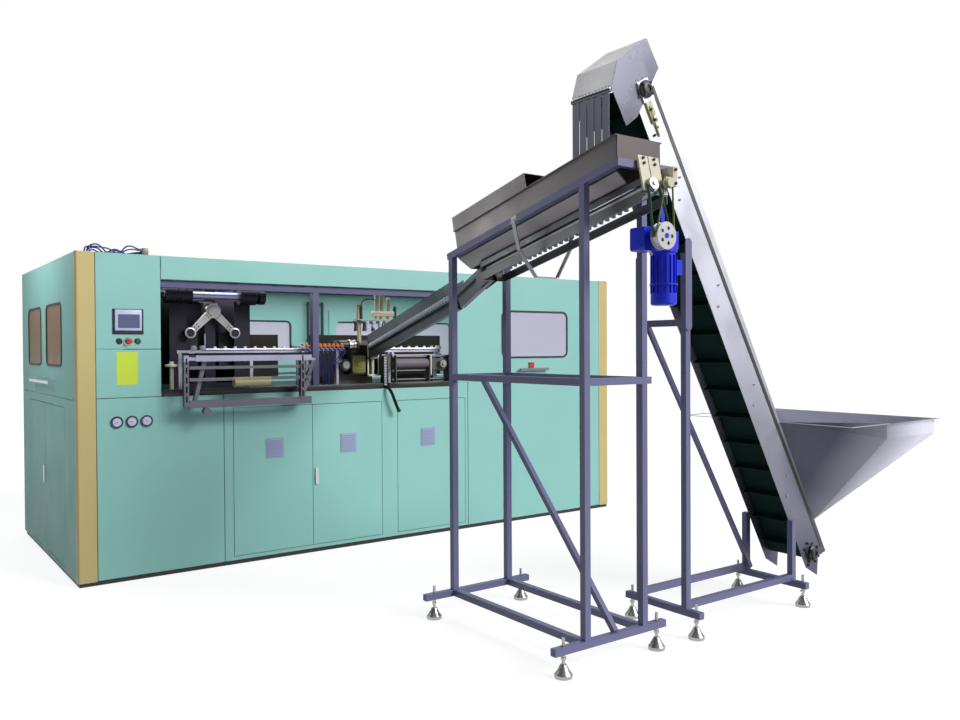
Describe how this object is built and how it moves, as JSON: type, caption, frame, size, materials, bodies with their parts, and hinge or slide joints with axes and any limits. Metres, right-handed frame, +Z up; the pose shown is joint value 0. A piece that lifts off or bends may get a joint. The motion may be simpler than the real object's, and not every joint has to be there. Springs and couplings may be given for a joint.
{
  "type": "blow moulding machine",
  "caption": "Bottle blow moulding line: guarded cabinet with toggle clamp, ovens and doors, preform chute, sloping roller trough on a tube frame, cleated elevator and hopper.",
  "frame": {"origin": "centre of the cabinet's base, on the floor", "axes": "+X along the cabinet's front to the right, +Y towards its back, +Z up; the feed line stands in front at -Y"},
  "size_m": [4.836, 5.549, 3.149],
  "materials": {
    "mint_paint": "satin powder coat",
    "gold_paint": "satin",
    "black_paint": "satin",
    "lavender_paint": "satin powder coat",
    "dark_steel": "dark machined",
    "machined_steel": "machined",
    "stainless": "brushed",
    "hopper_steel": "satin",
    "aluminium_profile": "anodised",
    "oven_sheet": "dull",
    "clear_strip": "soft clear plastic",
    "window_pale": "pane in a rubber profile",
    "window_brown": "tinted pane in a rubber profile",
    "screen": "glossy",
    "gauge_face": "dark bezel with a pale dial",
    "black_plastic": "matt",
    "red_plastic": "glossy",
    "green_plastic": "glossy",
    "belt_green": "matt",
    "drive_belt": "matt",
    "roller_rubber": "matt",
    "motor_blue": "gloss enamel",
    "cream_paint": "satin",
    "preform_plastic": "clear PET",
    "hose_blue": "air hose",
    "hose_black": "conduit",
    "drum_steel": "turned"
  },
  "bodies": {
    "machine": {"plinth": "black_paint", "inner_frame": "lavender_paint", "roof_panel": "mint_paint", "lintel_panel": "mint_paint", "control_panel": "mint_paint", "lower_front_panels": "mint_paint", "end_and_back_panels": "mint_paint", "corner_strips": "gold_paint", "touch_panel": "screen", "pressure_gauges": "gauge_face", "clamp_base": "dark_steel", "transfer_rail": "aluminium_profile", "infeed_drive": "machined_steel", "roller_frame": "machined_steel", "loader_column": "aluminium_profile", "ovens": "oven_sheet", "discharge_rack": "aluminium_profile", "feed_frame": "lavender_paint", "levelling_feet": "machined_steel", "trough": "stainless", "roller_carrier": "stainless", "bearing_plates": "cream_paint", "gear_motor": "motor_blue", "drive_belts": "drive_belt", "chute": "stainless", "preforms": "preform_plastic", "elevator_sides": "stainless", "cleated_belt": "belt_green", "hood": "hopper_steel", "strip_curtain": "clear_strip", "hopper": "hopper_steel", "elevator_stand": "lavender_paint", "roof_hoses": "hose_blue", "bed_hose": "hose_black"},
    "door_left": {"door_left": "mint_paint"},
    "door_mid": {"door_mid": "mint_paint"},
    "door_right": {"door_right": "mint_paint"},
    "end_door_front": {"end_door_front": "mint_paint"},
    "end_door_back": {"end_door_back": "mint_paint"},
    "rear_door_left": {"rear_door_left": "mint_paint"},
    "rear_door_right": {"rear_door_right": "mint_paint"},
    "black_button": {"black_button": "black_plastic"},
    "stop_button": {"stop_button": "red_plastic"},
    "green_button": {"green_button": "green_plastic"},
    "left_platen": {"left_platen": "dark_steel"},
    "right_platen": {"right_platen": "dark_steel"},
    "crosshead": {"crosshead": "machined_steel"},
    "link_left": {"link_left": "machined_steel"},
    "link_right": {"link_right": "machined_steel"},
    "loader_grippers": {"loader_grippers": "black_plastic"},
    "feed_roller": {"feed_roller": "roller_rubber"},
    "roller_left": {"roller_left": "drum_steel"},
    "roller_right": {"roller_right": "drum_steel"},
    "motor_pulley": {"motor_pulley": "drum_steel"},
    "head_drum": {"head_drum": "drum_steel"},
    "tail_drum": {"tail_drum": "drum_steel"},
    "right_guard": {"right_guard": "mint_paint", "right_window": "window_pale"},
    "left_guard": {"left_guard": "mint_paint", "left_windows": "window_brown"}
  },
  "joints": [
    {"name": "door_left_hinge", "type": "hinge", "parent": "machine", "child": "door_left", "pos_m": [-1.344, -1.064, 0.596], "axis": [0, 0, -1], "range_deg": [0, 100]},
    {"name": "door_mid_hinge", "type": "hinge", "parent": "machine", "child": "door_mid", "pos_m": [-0.138, -1.064, 0.596], "axis": [0, 0, 1], "range_deg": [0, 100]},
    {"name": "door_right_hinge", "type": "hinge", "parent": "machine", "child": "door_right", "pos_m": [0.679, -1.064, 0.596], "axis": [0, 0, 1], "range_deg": [0, 100]},
    {"name": "end_door_front_hinge", "type": "hinge", "parent": "machine", "child": "end_door_front", "pos_m": [-2.389, -0.674, 0.61], "axis": [0, 0, 1], "range_deg": [0, 100]},
    {"name": "end_door_back_hinge", "type": "hinge", "parent": "machine", "child": "end_door_back", "pos_m": [-2.389, 0.75, 0.61], "axis": [0, 0, -1], "range_deg": [0, 100]},
    {"name": "rear_door_left_hinge", "type": "hinge", "parent": "machine", "child": "rear_door_left", "pos_m": [-1.549, 1.064, 1.705], "axis": [0, 0, 1], "range_deg": [0, 100]},
    {"name": "rear_door_right_hinge", "type": "hinge", "parent": "machine", "child": "rear_door_right", "pos_m": [2.091, 1.064, 1.705], "axis": [0, 0, -1], "range_deg": [0, 100]},
    {"name": "right_guard_hinge", "type": "hinge", "parent": "machine", "child": "right_guard", "pos_m": [1.433, -1.064, 2.19], "axis": [-1, 0, 0], "range_deg": [0, 85]},
    {"name": "left_guard_hinge", "type": "hinge", "parent": "machine", "child": "left_guard", "pos_m": [-2.389, 0.01, 2.19], "axis": [0, 1, 0], "range_deg": [0, 85]},
    {"name": "black_button_press", "type": "slide", "parent": "machine", "child": "black_button", "axis": [0, 1, 0], "range_m": [0, 0.005], "stiffness_N_per_m": 400},
    {"name": "stop_button_press", "type": "slide", "parent": "machine", "child": "stop_button", "axis": [0, 1, 0], "range_m": [0, 0.005], "stiffness_N_per_m": 400},
    {"name": "green_button_press", "type": "slide", "parent": "machine", "child": "green_button", "axis": [0, 1, 0], "range_m": [0, 0.005], "stiffness_N_per_m": 400},
    {"name": "left_platen_slide", "type": "slide", "parent": "machine", "child": "left_platen", "axis": [1, 0, 0], "range_m": [0, 0.08]},
    {"name": "right_platen_slide", "type": "slide", "parent": "machine", "child": "right_platen", "axis": [-1, 0, 0], "range_m": [0, 0.08]},
    {"name": "crosshead_slide", "type": "slide", "parent": "machine", "child": "crosshead", "axis": [0, 0, 1], "range_m": [0, 0.0547]},
    {"name": "left_link_pivot", "type": "hinge", "parent": "crosshead", "child": "link_left", "pos_m": [-1.364, -0.694, 1.846], "axis": [0, -1, 0], "range_deg": [0, 23.48]},
    {"name": "right_link_pivot", "type": "hinge", "parent": "crosshead", "child": "link_right", "pos_m": [-1.364, -0.676, 1.846], "axis": [0, 1, 0], "range_deg": [0, 23.48]},
    {"name": "gripper_lift", "type": "slide", "parent": "machine", "child": "loader_grippers", "axis": [0, 0, -1], "range_m": [0, 0.06]},
    {"name": "feed_roller_spin", "type": "hinge", "parent": "machine", "child": "feed_roller", "pos_m": [0.205, -0.96, 1.43], "axis": [1, 0, 0], "continuous": true},
    {"name": "roller_left_spin", "type": "hinge", "parent": "machine", "child": "roller_left", "pos_m": [-0.5845, -3.73813, 2.15396], "axis": [0, -0.9755, 0.2198], "continuous": true},
    {"name": "roller_right_spin", "type": "hinge", "parent": "machine", "child": "roller_right", "pos_m": [-0.5105, -3.73813, 2.15396], "axis": [0, -0.9755, 0.2198], "continuous": true},
    {"name": "motor_pulley_spin", "type": "hinge", "parent": "machine", "child": "motor_pulley", "pos_m": [-0.521, -4.396, 2.066], "axis": [0, -1, 0], "continuous": true},
    {"name": "head_drum_spin", "type": "hinge", "parent": "machine", "child": "head_drum", "pos_m": [-0.24663, -3.875, 2.87888], "axis": [0, 1, 0], "continuous": true},
    {"name": "tail_drum_spin", "type": "hinge", "parent": "machine", "child": "tail_drum", "pos_m": [1.23421, -3.875, 0.27214], "axis": [0, 1, 0], "continuous": true}
  ],
  "couplings": [
    {"joint": "right_platen_slide", "follows": "left_platen_slide", "ratio": 1},
    {"joint": "crosshead_slide", "follows": "left_platen_slide", "ratio": 0.68283},
    {"joint": "left_link_pivot", "follows": "left_platen_slide", "rad_per_m": 5.101},
    {"joint": "right_link_pivot", "follows": "left_platen_slide", "rad_per_m": 5.101},
    {"joint": "roller_right_spin", "follows": "roller_left_spin", "ratio": -1},
    {"joint": "motor_pulley_spin", "follows": "roller_left_spin", "ratio": 0.51724},
    {"joint": "tail_drum_spin", "follows": "head_drum_spin", "ratio": 1}
  ]
}
